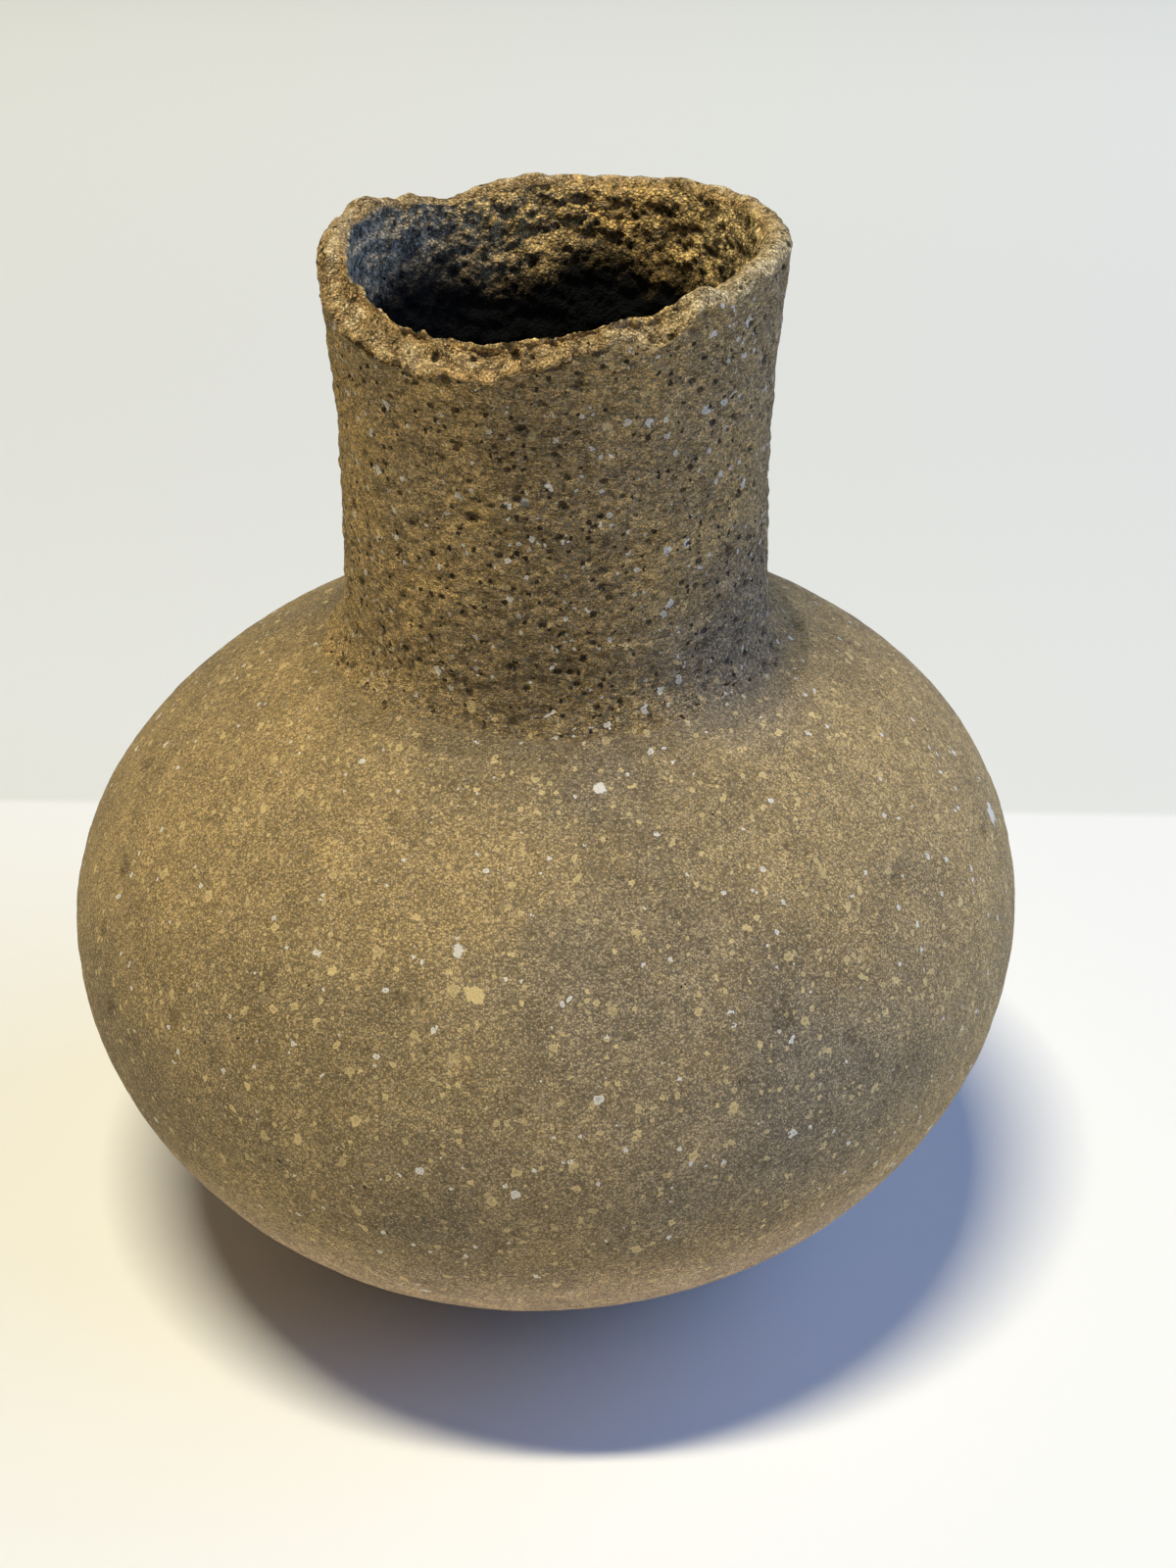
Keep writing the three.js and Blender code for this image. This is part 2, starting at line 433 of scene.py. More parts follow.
def outward_normals(places, strips):
    """Normals of a grid of places whose rows climb the outside and whose steps turn left"""
    around = np.roll(places, -1, axis=1) - np.roll(places, 1, axis=1)
    along = np.concatenate([np.gradient(places[strip], axis=0) for strip in strips])
    normals = np.cross(around, along)
    return normals / np.maximum(np.linalg.norm(normals, axis=-1, keepdims=True), 1e-12)


def built_up(places, layers):
    """Layers of relief, each with its kind, height, size in millimetres, draw and flatness, as one"""
    return sum(height * kind(places, size, draw, flat) for kind, height, size, draw, flat in layers)


# Each kind of relief gives its height and the depth of its pits, from 0 to 1

def body_relief(places, surface):
    sand = surface.sand
    relief = built_up(places, [
        (lumps, surface.dents, 30, 1, 1),
        (lumps, surface.scraping, 14, 2, 3.5),
        (lumps, sand, 3.4, 3, 1),
        (lumps, sand * 0.8, 1.5, 4, 1),
    ])
    hollow = pits(places, 5.2, 0.15, 10)
    fine = pits(places, 2.6, 0.3, 20)
    return relief - sand * (4.5 * hollow + 2.5 * fine), np.maximum(hollow, 0.7 * fine)


def neck_relief(places, surface):
    crumble = surface.crumble
    relief = built_up(places, [
        (lumps, surface.dents, 17, 5, 1),
        (lumps, crumble * 0.6, 4.6, 6, 1.6),
        (flakes, crumble * 0.7, 2.6, 7, 1.9),
        (lumps, crumble * 0.45, 1.15, 8, 1.3),
    ])
    hollow = pits(places, 4.2, 0.35, 30, flat=1.5)
    fine = pits(places, 2.2, 0.5, 35, flat=1.4)
    return relief - crumble * (1.8 * hollow + 1.4 * fine), np.maximum(0.7 * hollow, fine)


def bore_relief(places, surface):
    """Flaked and crumbled clay inside the neck"""
    flaking = surface.flaking
    relief = built_up(places, [
        (lumps, flaking * 0.6, 9, 12, 1),
        (flakes, flaking * 0.7, 3.8, 13, 1.5),
        (flakes, flaking * 0.5, 2, 14, 1.3),
        (ridges, flaking * 0.3, 1.3, 15, 1),
    ])
    fine = pits(places, 2.1, 0.4, 65)
    return relief - flaking * 0.8 * fine, fine


def cavity_relief(places, surface):
    """Finger marks inside the body"""
    return 1.5 * surface.dents * lumps(places, 18, 19), np.zeros(places.shape[:-1])


def broken_relief(places, surface):
    """Ledges of broken clay, sunk a little below the faces round them"""
    fracture = surface.fracture
    relief = built_up(places, [
        (flakes, fracture * 1.3, 6, 16, 1),
        (flakes, fracture * 0.9, 2.7, 17, 1),
        (ridges, fracture * 0.4, 1.2, 18, 1),
    ])
    hollow = pits(places, 2.6, 0.5, 70)
    return relief - fracture * (1.0 + 1.4 * hollow), hollow


def lip_relief(places, surface):
    """The worn round of the lip, smoother than a break"""
    fracture = surface.fracture
    relief = built_up(places, [(flakes, fracture * 0.45, 2.8, 22, 1), (lumps, fracture * 0.25, 1.1, 23, 1)])
    hollow = pits(places, 2.8, 0.4, 75)
    return relief - fracture * 0.9 * hollow, hollow


def weather(places, strips, wall, surface, reach, inside):
    """Gives the ring all its relief, and returns the masks that its colours follow"""
    worn, broken = wear_lip(places, wall, surface, inside)
    lip = ramp(np.sin(inside * math.pi), 0, 0.35)
    shape_by_hand(places, wall)
    shoulder = wall.shoulder_reach
    ragged = reach + MILLIMETRE * lumps(places, 3, 50)
    neck = ramp(ragged, shoulder + 1.5 * MILLIMETRE, shoulder + 4 * MILLIMETRE)
    bore = ramp(reach, shoulder + 2 * MILLIMETRE, shoulder + 16 * MILLIMETRE)
    sole = ramp(reach, 0, 6 * MILLIMETRE)
    outside = 1 - inside
    shares = [
        (body_relief, (1 - neck) * outside * sole),
        (neck_relief, neck * outside * (1 - np.maximum(lip, broken))),
        (bore_relief, inside * bore * (1 - lip)),
        (cavity_relief, inside * (1 - bore)),
        (lip_relief, np.maximum(lip - broken, 0)),
        (broken_relief, broken),
    ]
    relief, hollow = np.zeros(reach.shape), np.zeros(reach.shape)
    for make, share in shares:
        used = share > 0
        if used.any():
            height, depth = make(places[used], surface)
            relief[used] += share[used] * height
            hollow[used] += share[used] * depth
    places += outward_normals(places, strips) * relief[..., None]
    # hollow is the depth of the pits, which the materials paint darker as painted shade and dirt
    return {"neck": neck, "inside": inside, "worn": worn, "hollow": hollow}


# Turning a ring. It is spun in coarse steps first, each of which is then divided.

COARSE_TURN = 6
TUCKED_IN = 0.2


def spin_section(name, rows, steps, closed):
    """The rows as one section, spun a full turn round the pot's axis, with each row's number kept"""
    ring = bmesh.new()
    number = ring.verts.layers.float.new("row")
    section = []
    for index, point in enumerate(rows):
        vertex = ring.verts.new((point["radius"], 0, point["height"]))
        vertex[number] = index
        section.append(vertex)
    pairs = list(zip(section, section[1:])) + ([(section[-1], section[0])] if closed else [])
    edges = [ring.edges.new(pair) for pair in pairs]
    bmesh.ops.spin(
        ring, geom=section + edges, cent=(0, 0, 0), axis=(0, 0, 1), angle=math.tau,
        steps=steps // COARSE_TURN, use_merge=True
    )
    on_axis = [vertex for vertex in ring.verts if vertex.co.xy.length < 1e-7]
    bmesh.ops.remove_doubles(ring, verts=on_axis, dist=1e-6)
    bmesh.ops.recalc_face_normals(ring, faces=ring.faces)
    level = [edge for edge in ring.edges if edge.verts[0][number] == edge.verts[1][number]]
    bmesh.ops.subdivide_edges(ring, edges=level, cuts=COARSE_TURN - 1, use_grid_fill=True)
    mesh = bpy.data.meshes.new(name)
    ring.to_mesh(mesh)
    ring.free()
    return mesh


def grid_of(mesh, count, steps):
    """The numbers of the vertices, as a grid of rows by steps; a row on the axis repeats its one vertex"""
    places = np.empty((len(mesh.vertices), 3), np.float32)
    mesh.vertices.foreach_get("co", places.ravel())
    numbers = np.empty(len(places), np.float32)
    mesh.attributes["row"].data.foreach_get("value", numbers)
    step = np.round(np.arctan2(places[:, 1], places[:, 0]) / math.tau * steps).astype(int) % steps
    grid = np.full((count, steps), -1)
    grid[np.round(numbers).astype(int), step] = np.arange(len(places))
    return np.where(grid < 0, grid.max(axis=1, keepdims=True), grid)


def tuck_joints(places, rows):
    """Folds each tucked row into the joint, a little way in from the edge that it belongs to"""
    count = len(rows)
    for index, point in enumerate(rows):
        if not point["tucked"]:
            continue
        if rows[(index + 1) % count]["tucked"]:
            edge, far = index - 1, (index + 2) % count
        else:
            edge, far = (index + 1) % count, index - 2
        places[index] = (1 - TUCKED_IN) * places[edge] + TUCKED_IN * places[far]


def linked(context, name, data):
    """A new object in the scene"""
    item = bpy.data.objects.new(name, data)
    context.scene.collection.objects.link(item)
    return item


def make_ring(context, node, strips, steps, material):
    """Spins a ring's section, weathers it, and puts it in the place of its CAD ring"""
    rows = [point for strip in strips for point in strip]
    closed = rows[0]["tucked"]
    mesh = spin_section(node + "_fired", rows, steps, closed)
    grid = grid_of(mesh, len(rows), steps)
    ends = np.cumsum([0] + [len(strip) for strip in strips])
    parts = [slice(start, end) for start, end in zip(ends, ends[1:])]
    fields = ("radius", "height", "reach", "inside")
    radius, height, reach, inside = (
        np.tile([[float(point[field])] for point in rows], (1, steps)) for field in fields
    )
    turn = np.arange(steps) * math.tau / steps
    shaped = np.stack([radius * np.cos(turn), radius * np.sin(turn), height], axis=-1)
    wall = Wall(context.scene.bottle_shape)
    masks = weather(shaped, parts, wall, context.scene.bottle_surface, reach, inside)
    facing = outward_normals(shaped, parts)
    tuck_joints(shaped, rows)
    places, normals = np.empty((2, len(mesh.vertices), 3))
    normals[grid], places[grid] = facing, shaped
    if not closed:
        poles = grid[[0, -1], 0]
        places[poles, :2], normals[poles] = 0, ((0, 0, -1), (0, 0, 1))
    mesh.vertices.foreach_set("co", places.ravel())
    for name, mask in masks.items():
        values = np.empty(len(places))
        values[grid] = mask
        mesh.attributes.new(name, "FLOAT", "POINT").data.foreach_set("value", values)
    mesh.attributes.remove(mesh.attributes["row"])
    mesh.shade_smooth()
    mesh.normals_split_custom_set_from_vertices(normals.tolist())
    mesh.materials.append(material)
    mesh.update()
    piece = linked(context, mesh.name, mesh)
    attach(piece, "root")
    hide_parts(node)


# Materials

def wire(tree, kind, inputs=None, **settings):
    """A new node, with each input set to a value or linked to another node's output"""
    node = tree.nodes.new(kind)
    for name, value in settings.items():
        setattr(node, name, value)
    for socket, value in (inputs or {}).items():
        if isinstance(value, bpy.types.NodeSocket):
            tree.links.new(value, node.inputs[socket])
        else:
            node.inputs[socket].default_value = value
    return node


def sums(tree, operation, *numbers):
    return wire(tree, "ShaderNodeMath", dict(enumerate(numbers)), operation=operation).outputs[0]


def stepped(tree, value, low, high, to_low=0.0, to_high=1.0):
    inputs = {"Value": value, "From Min": low, "From Max": high, "To Min": to_low, "To Max": to_high}
    return wire(tree, "ShaderNodeMapRange", inputs, interpolation_type="SMOOTHSTEP").outputs["Result"]


def mixed(tree, share, first, second):
    """Two colours mixed by a share"""
    inputs = {0: share, 6: first, 7: second}
    return wire(tree, "ShaderNodeMix", inputs, data_type="RGBA").outputs[2]


def faded(tree, mask, strength, first, second):
    """Two colours mixed by a mask that is made weaker"""
    return mixed(tree, sums(tree, "MULTIPLY", mask, strength), first, second)


def blended(tree, share, first, second):
    """Two numbers mixed by a share"""
    return wire(tree, "ShaderNodeMix", {0: share, 2: first, 3: second}).outputs[0]


def lit(tree, colour, factor):
    """A colour made lighter or darker by a factor"""
    return wire(tree, "ShaderNodeVectorMath", {0: colour, "Scale": factor}, operation="SCALE").outputs[0]


def uneven(tree, colour, pattern, low, high, darkest, lightest):
    """A colour made darker where a pattern is low, and lighter where it is high"""
    return lit(tree, colour, stepped(tree, pattern, low, high, darkest, lightest))


def moved(tree, operation, first, second):
    return wire(tree, "ShaderNodeVectorMath", {0: first, 1: second}, operation=operation).outputs[0]


def length(tree, vector):
    return wire(tree, "ShaderNodeVectorMath", {0: vector}, operation="LENGTH").outputs["Value"]


def axes(tree, vector):
    return wire(tree, "ShaderNodeSeparateXYZ", {"Vector": vector}).outputs


def noise(tree, vector, size, detail=2.0, roughness=0.5):
    """Soft noise from 0 to 1 in lumps about size millimetres across"""
    inputs = {"Vector": vector, "Scale": 1 / (size * MILLIMETRE), "Detail": detail, "Roughness": roughness}
    return wire(tree, "ShaderNodeTexNoise", inputs).outputs["Fac"]


def cells(tree, vector, scale):
    """Cells round scattered points: the distance from the point, and three lots for each cell"""
    made = wire(tree, "ShaderNodeTexVoronoi", {"Vector": vector, "Scale": scale}).outputs
    return made["Distance"], wire(tree, "ShaderNodeSeparateColor", {"Color": made["Color"]}).outputs


def mask_of(tree, name):
    return wire(tree, "ShaderNodeAttribute", attribute_name=name).outputs["Fac"]


def new_group(name, inputs):
    """A shader node group with its inputs, each with its kind and default: its tree and what it is given"""
    tree = bpy.data.node_groups.new(name, "ShaderNodeTree")
    for socket, (kind, default) in inputs.items():
        made = tree.interface.new_socket(name=socket, in_out="INPUT", socket_type="NodeSocket" + kind)
        if default is not None:
            made.default_value = default
    return tree, tree.nodes.new("NodeGroupInput").outputs


def built(make):
    """The group that a function makes, built the first time"""
    name = make.__name__.replace("_", " ")
    return bpy.data.node_groups.get(name) or make(name)


def placed(tree, make, inputs):
    return wire(tree, "ShaderNodeGroup", inputs, node_tree=built(make)).outputs


def put_out(tree, results):
    """Gives a group its outputs, a colour and numbers, and returns the finished group"""
    for name in results:
        kind = "NodeSocketColor" if name == "Color" else "NodeSocketFloat"
        tree.interface.new_socket(name=name, in_out="OUTPUT", socket_type=kind)
    wire(tree, "NodeGroupOutput", results)
    return tree


def sandy_grain(name):
    """Grains of sand in the clay, lit in their middles: how light each one is, its lot and its height"""
    inputs = {"Vector": ("Vector", None), "Grains per metre": ("Float", 1800.0)}
    tree, given = new_group(name, inputs)
    vector, scale = given["Vector"], given["Grains per metre"]
    distance, lot = cells(tree, vector, scale)
    middle_of_grain = stepped(tree, distance, 0.3, 0.62, 1.0, 0.3)
    _, fine_lot = cells(tree, vector, sums(tree, "MULTIPLY", scale, 2.1))
    lightness = sums(tree, "MULTIPLY", lot["Red"], middle_of_grain)
    return put_out(tree, {
        "Tone": blended(tree, 0.35, lightness, fine_lot["Red"]),
        "Lot": lot["Green"],
        "Height": blended(tree, 0.3, middle_of_grain, fine_lot["Red"]),
    })


def grained(tree, vector, colour, tints, size, contrast):
    """A colour broken up into grains of size millimetres, some cooler, the lightest ones yellower"""
    cool, pale = tints
    grain = placed(tree, sandy_grain, {"Vector": vector, "Grains per metre": 1 / (size * MILLIMETRE)})
    colour = mixed(tree, stepped(tree, grain["Lot"], 0.55, 0.95, 0.0, 0.6), colour, cool)
    colour = lit(tree, colour, stepped(tree, grain["Tone"], 0.05, 0.75, 1 - contrast, 1 + contrast * 1.1))
    return mixed(tree, stepped(tree, grain["Tone"], 0.62, 0.85, 0.0, 0.3), colour, pale), grain["Height"]


def cracks(tree, vector, size):
    """Thin ragged lines, 1 in their middle and 0 beside them"""
    level = noise(tree, vector, size, 4.0, 0.65)
    away = sums(tree, "ABSOLUTE", sums(tree, "SUBTRACT", level, 0.5))
    return stepped(tree, away, 0.004, 0.022, 1.0, 0.0)


def temper_flecks(name):
    """Angular flecks in some of the cells, up to the width given: a mask, a lot for each and its tone"""
    inputs = {
        "Vector": ("Vector", None),
        "Cells per metre": ("Float", 400.0),
        "Share": ("Float", 0.3),
        "Width": ("Float", 0.3),
    }
    tree, given = new_group(name, inputs)
    vector, scale = given["Vector"], given["Cells per metre"]
    fine = sums(tree, "MULTIPLY", scale, 2.8)
    wobble = wire(tree, "ShaderNodeTexNoise", {"Vector": vector, "Scale": fine, "Detail": 1.0})
    reach = sums(tree, "DIVIDE", 0.6, scale)
    shift = lit(tree, moved(tree, "SUBTRACT", wobble.outputs["Color"], (0.5, 0.5, 0.5)), reach)
    distance, lot = cells(tree, moved(tree, "ADD", vector, shift), scale)
    chosen = sums(tree, "LESS_THAN", lot["Red"], given["Share"])
    size = sums(tree, "MULTIPLY", given["Width"], sums(tree, "MULTIPLY_ADD", lot["Green"], 0.65, 0.35))
    within = sums(tree, "LESS_THAN", distance, size)
    towards_edge = sums(tree, "DIVIDE", distance, size)
    return put_out(tree, {
        "Mask": sums(tree, "MULTIPLY", chosen, within),
        "Lot": lot["Blue"],
        "Tone": stepped(tree, towards_edge, 0.2, 0.7, 0.68, 1.0),
    })


def lone_fleck(name):
    """One angular fleck of a given reach round a centre"""
    inputs = {"Vector": ("Vector", None), "Centre": ("Vector", (0.0, 0.0, 0.0)), "Reach": ("Float", 0.001)}
    tree, given = new_group(name, inputs)
    distance = length(tree, moved(tree, "SUBTRACT", given["Vector"], given["Centre"]))
    share = sums(tree, "DIVIDE", distance, given["Reach"])
    ragged = noise(tree, given["Vector"], 1.2)
    edge = sums(tree, "MULTIPLY_ADD", ragged, 2.2, sums(tree, "SUBTRACT", share, 1.1))
    return put_out(tree, {"Mask": stepped(tree, edge, 0.75, 1.0, 0.9, 0.0)})


def fire_cloud(name):
    """A ragged patch round a centre, 1 in its middle and 0 past its reach"""
    inputs = {
        "Vector": ("Vector", None),
        "Centre": ("Vector", (0.0, 0.0, 0.0)),
        "Stretch": ("Vector", (1.0, 1.0, 1.0)),
        "Reach": ("Float", 0.03),
    }
    tree, given = new_group(name, inputs)
    away = moved(tree, "SUBTRACT", given["Vector"], given["Centre"])
    distance = length(tree, moved(tree, "DIVIDE", away, given["Stretch"]))
    share = sums(tree, "DIVIDE", distance, given["Reach"])
    ragged = noise(tree, given["Vector"], 16, 5.0, 0.6)
    edge = sums(tree, "MULTIPLY_ADD", ragged, 1.1, sums(tree, "SUBTRACT", share, 0.55))
    return put_out(tree, {"Mask": stepped(tree, edge, 0.2, 1.1, 1.0, 0.0)})


def clouded(tree, given, colour, clouds):
    """Fire clouds over a colour, each with its colour, strength, centre, stretch and reach"""
    for tint, strength, centre, stretch, reach in clouds:
        inputs = {"Vector": given["Vector"], "Centre": centre, "Stretch": stretch, "Reach": reach}
        mask = placed(tree, fire_cloud, inputs)["Mask"]
        colour = faded(tree, mask, strength, colour, given[tint])
    return colour


# Flecks of three sizes: cells per metre, the share of them that hold one, and its width in cells
FLECK_SIZES = [(720, 0.38, 0.36), (330, 0.5, 0.28), (120, 0.35, 0.13)]


def scattered(tree, vector, per_metre, share, width):
    inputs = {"Vector": vector, "Cells per metre": per_metre, "Share": share, "Width": width}
    return placed(tree, temper_flecks, inputs)


def flecked(tree, given, colour, white):
    """Flecks of temper over a colour, a share of them white and the others yellow"""
    for size in FLECK_SIZES:
        flecks = scattered(tree, given["Vector"], *size)
        tint = mixed(tree, sums(tree, "LESS_THAN", flecks["Lot"], white), given["Fleck"], given["Shell"])
        strength = stepped(tree, flecks["Lot"], 0.0, 1.0, 0.9, 0.5)
        tint = lit(tree, tint, flecks["Tone"])
        colour = faded(tree, flecks["Mask"], strength, colour, tint)
    return colour


def dotted(tree, given, colour, flecks):
    """The few flecks of the photograph that stand out, each with its colour, centre and reach"""
    for tint, centre, reach in flecks:
        inputs = {"Vector": given["Vector"], "Centre": centre, "Reach": reach}
        colour = mixed(tree, placed(tree, lone_fleck, inputs)["Mask"], colour, given[tint])
    return colour


def pitted(tree, given, colour, size, shade):
    """Small dark pits over a colour, with painted shade and dirt as dark as shade where the clay is hollow,
    and their mask
    """
    aside = moved(tree, "ADD", given["Vector"], (0.1, 0.2, 0.3))
    holes = scattered(tree, aside, *size)["Mask"]
    # Painted shade and dirt: the small pits, and the hollows of the relief the deeper they are, are painted
    # towards the pit colour
    hollow = stepped(tree, given["Hollow"], 0.3, 0.55, 0.0, shade)
    dark = sums(tree, "MAXIMUM", sums(tree, "MULTIPLY", holes, 0.9), hollow)
    return mixed(tree, dark, colour, given["Pit"]), holes


def new_surface(name, *colours):
    """A group that makes a surface of clay from the colours that it asks for"""
    inputs = {"Vector": ("Vector", None), "Hollow": ("Float", 0.0)}
    return new_group(name, {**inputs, **{colour: ("Color", None) for colour in colours}})


def scraped_clay(name):
    """The body: fine sandy clay, scraped smooth, with fire clouds and flecks of temper"""
    tree, given = new_surface(name, "Olive", "Tan", "Ash", "Buff", "Smoke", "Fleck", "Shell", "Pit")
    vector = given["Vector"]
    broad = noise(tree, vector, 48, 4.0)
    colour = mixed(tree, stepped(tree, broad, 0.42, 0.68, 0.0, 0.7), given["Olive"], given["Tan"])
    colour = mixed(tree, stepped(tree, broad, 0.3, 0.5, 0.6, 0.0), colour, given["Ash"])
    # Painted reflected light: low on the body the clay is mixed towards the paler pinkish buff, lighter
    # where the white table lights it from below
    low = stepped(tree, axes(tree, vector)["Z"], 0.028, 0.05, 0.85, 0.0)
    colour = mixed(tree, low, colour, given["Buff"])
    colour = clouded(tree, given, colour, [
        ("Tan", 0.8, (-0.060, -0.030, 0.105), (1, 1, 0.8), 0.05),
        ("Tan", 0.9, (0.078, -0.020, 0.080), (1, 1.2, 1.2), 0.06),
        ("Smoke", 0.3, (0.033, -0.078, 0.068), (1.8, 1, 0.6), 0.040),
        ("Smoke", 0.3, (0.009, -0.073, 0.092), (1.2, 1, 0.9), 0.026),
        ("Smoke", 0.5, (0.030, -0.026, 0.122), (1, 1, 1), 0.020),
        ("Smoke", 0.5, (0.010, 0.080, 0.060), (1.4, 1, 0.8), 0.035),
    ])
    mottle = noise(tree, vector, 7, 5.0, 0.7)
    colour = uneven(tree, colour, mottle, 0.3, 0.7, 0.8, 1.2)
    tints = (given["Ash"], given["Fleck"])
    colour, relief = grained(tree, vector, colour, tints, 0.36, 0.52)
    colour = flecked(tree, given, colour, 0.14)
    colour = dotted(tree, given, colour, [
        ("Shell", (-0.0136, -0.0690, 0.0971), 0.0011),
        ("Fleck", (-0.0112, -0.0736, 0.0926), 0.0017),
        ("Shell", (0.0082, -0.0480, 0.1130), 0.0010),
        ("Fleck", (-0.0329, -0.0665, 0.0924), 0.0009),
        ("Shell", (0.0783, -0.0131, 0.0866), 0.0022),
    ])
    colour, holes = pitted(tree, given, colour, (350, 0.14, 0.12), 0.3)
    return put_out(tree, {
        "Color": colour,
        "Roughness": stepped(tree, mottle, 0.3, 0.7, 0.78, 0.9),
        "Height": sums(tree, "SUBTRACT", relief, holes),
    })


def crumbled_clay(name):
    """The neck: dark, open clay that has lost its smooth face"""
    tree, given = new_surface(name, "Umber", "Ochre", "Smoke", "Fleck", "Shell", "Pit")
    vector = given["Vector"]
    broad = noise(tree, vector, 26, 4.0)
    colour = mixed(tree, stepped(tree, broad, 0.42, 0.7, 0.0, 0.6), given["Umber"], given["Ochre"])
    colour = clouded(tree, given, colour, [
        ("Ochre", 0.6, (-0.036, -0.012, 0.145), (1, 1, 3), 0.02),
        # Painted shade on the neck's front, partly darker clay: two patches mixed towards the near-black
        # pit colour
        ("Pit", 0.26, (0.002, -0.038, 0.140), (1, 1, 2.2), 0.018),
        ("Pit", 0.3, (-0.004, -0.041, 0.120), (2, 1, 0.7), 0.018),
        ("Smoke", 0.5, (0.034, -0.024, 0.125), (1, 1, 1), 0.026),
        ("Smoke", 0.25, (0.038, -0.010, 0.155), (0.8, 1, 2), 0.018),
    ])
    mottle = noise(tree, vector, 4, 4.0, 0.6)
    colour = uneven(tree, colour, mottle, 0.25, 0.75, 0.8, 1.2)
    layered = moved(tree, "MULTIPLY", vector, (1.0, 1.0, 2.2))
    layers = noise(tree, layered, 1.5, 3.0, 0.7)
    colour = uneven(tree, colour, layers, 0.35, 0.65, 0.62, 1.27)
    flattened = moved(tree, "MULTIPLY", vector, (1.0, 1.0, 1.35))
    tints = (given["Smoke"], given["Fleck"])
    colour, relief = grained(tree, flattened, colour, tints, 0.38, 0.52)
    colour = faded(tree, cracks(tree, layered, 6), 0.55, colour, given["Pit"])
    colour = flecked(tree, given, colour, 0.5)
    colour = dotted(tree, given, colour, [
        ("Shell", (0.0315, -0.0221, 0.1788), 0.0010),
        ("Shell", (-0.0028, -0.0352, 0.1557), 0.0008),
        ("Shell", (-0.0126, -0.0324, 0.1557), 0.0009),
        ("Fleck", (0.0095, -0.0353, 0.1677), 0.0010),
    ])
    colour, holes = pitted(tree, given, colour, (600, 0.6, 0.3), 0.7)
    relief = sums(tree, "ADD", relief, sums(tree, "MULTIPLY", layers, 1.6))
    return put_out(tree, {
        "Color": colour,
        "Roughness": stepped(tree, mottle, 0.3, 0.7, 0.86, 0.96),
        "Height": sums(tree, "SUBTRACT", relief, holes),
    })


def smoked_clay(name):
    """The inside: rough brown clay, grey with smoke on the left, a patch of painted lamplight on the inner
    right, and near black further down, partly sooty clay and partly painted shade
    """
    tree, given = new_surface(name, "Umber", "Ochre", "Smoke", "Soot", "Fleck", "Pit")
    vector = given["Vector"]
    broad = noise(tree, vector, 14, 5.0, 0.6)
    colour = mixed(tree, stepped(tree, broad, 0.35, 0.65, 0.3, 1.0), given["Umber"], given["Ochre"])
    colour = clouded(tree, given, colour, [
        ("Smoke", 0.6, (-0.032, 0.014, 0.170), (1, 1.2, 1), 0.042),
        # Painted lamplight: a paler patch on the inner right wall near the lip, where the lamp's light
        # falls
        ("Fleck", 0.6, (0.036, 0.002, 0.180), (1, 1.3, 1), 0.028),
    ])
    mottle = noise(tree, vector, 1.8, 4.0, 0.7)
    # The same noise raises the bump, so the clay is lighter on the raised bumps and darker in the low
    # places: partly random tone, partly painted highlight and shade
    colour = uneven(tree, colour, mottle, 0.35, 0.65, 0.3, 2.1)
    tints = (given["Smoke"], given["Fleck"])
    colour, relief = grained(tree, vector, colour, tints, 0.55, 0.5)
    colour, holes = pitted(tree, given, colour, (460, 0.5, 0.22), 0.6)
    # Partly soot, partly painted shade: everything inside below a wavering height, the body's whole inside
    # and the lower neck, is painted near black
    wavering = sums(tree, "MULTIPLY_ADD", broad, 0.020, axes(tree, vector)["Z"])
    soot_and_deep_shade = stepped(tree, wavering, 0.178, 0.1885, 1.0, 0.0)
    return put_out(tree, {
        "Color": mixed(tree, soot_and_deep_shade, colour, given["Soot"]),
        "Roughness": stepped(tree, mottle, 0.3, 0.7, 0.85, 0.97),
        "Height": sums(tree, "SUBTRACT", sums(tree, "ADD", relief, mottle), holes),
    })


def new_material(name):
    """A material, its tree, its shader and its object's own coordinates"""
    material = bpy.data.materials.new(name)
    material.use_nodes = True
    tree = material.node_tree
    shader = tree.nodes["Principled BSDF"]
    vector = wire(tree, "ShaderNodeTexCoord").outputs["Object"]
    return material, tree, shader, vector


def given_to(tree, vector, colours, names):
    """What a surface of clay is made from: the pot's own coordinates, its pits and the colours named"""
    given = {name: (*getattr(colours, name.lower()), 1.0) for name in names}
    return {**given, "Vector": vector, "Hollow": mask_of(tree, "hollow")}


def surface(tree, make, vector, colours):
    """A surface group, given the colours that it asks for"""
    sockets = [item for item in built(make).interface.items_tree if item.in_out == "INPUT"]
    names = [socket.name for socket in sockets if socket.socket_type == "NodeSocketColor"]
    return placed(tree, make, given_to(tree, vector, colours, names))


def merge(tree, share, first, second):
    """Two surfaces mixed by a share"""
    return {
        "Color": mixed(tree, share, first["Color"], second["Color"]),
        "Roughness": blended(tree, share, first["Roughness"], second["Roughness"]),
        "Height": blended(tree, share, first["Height"], second["Height"]),
    }


def finish_surface(tree, shader, layers, relief):
    """Wires a surface, with relief in millimetres, to the shader of unglazed clay, which hardly shines"""
    shader.inputs["Specular IOR Level"].default_value = 0.15
    tree.links.new(layers["Color"], shader.inputs["Base Color"])
    tree.links.new(layers["Roughness"], shader.inputs["Roughness"])
    bump = wire(tree, "ShaderNodeBump", {"Distance": relief * MILLIMETRE, "Height": layers["Height"]})
    tree.links.new(bump.outputs["Normal"], shader.inputs["Normal"])


def fired_body_clay(colours):
    material, tree, shader, vector = new_material("fired_body_clay")
    outside = surface(tree, scraped_clay, vector, colours)
    inside = surface(tree, smoked_clay, vector, colours)
    layers = merge(tree, mask_of(tree, "inside"), outside, inside)
    finish_surface(tree, shader, layers, 0.16)
    return material


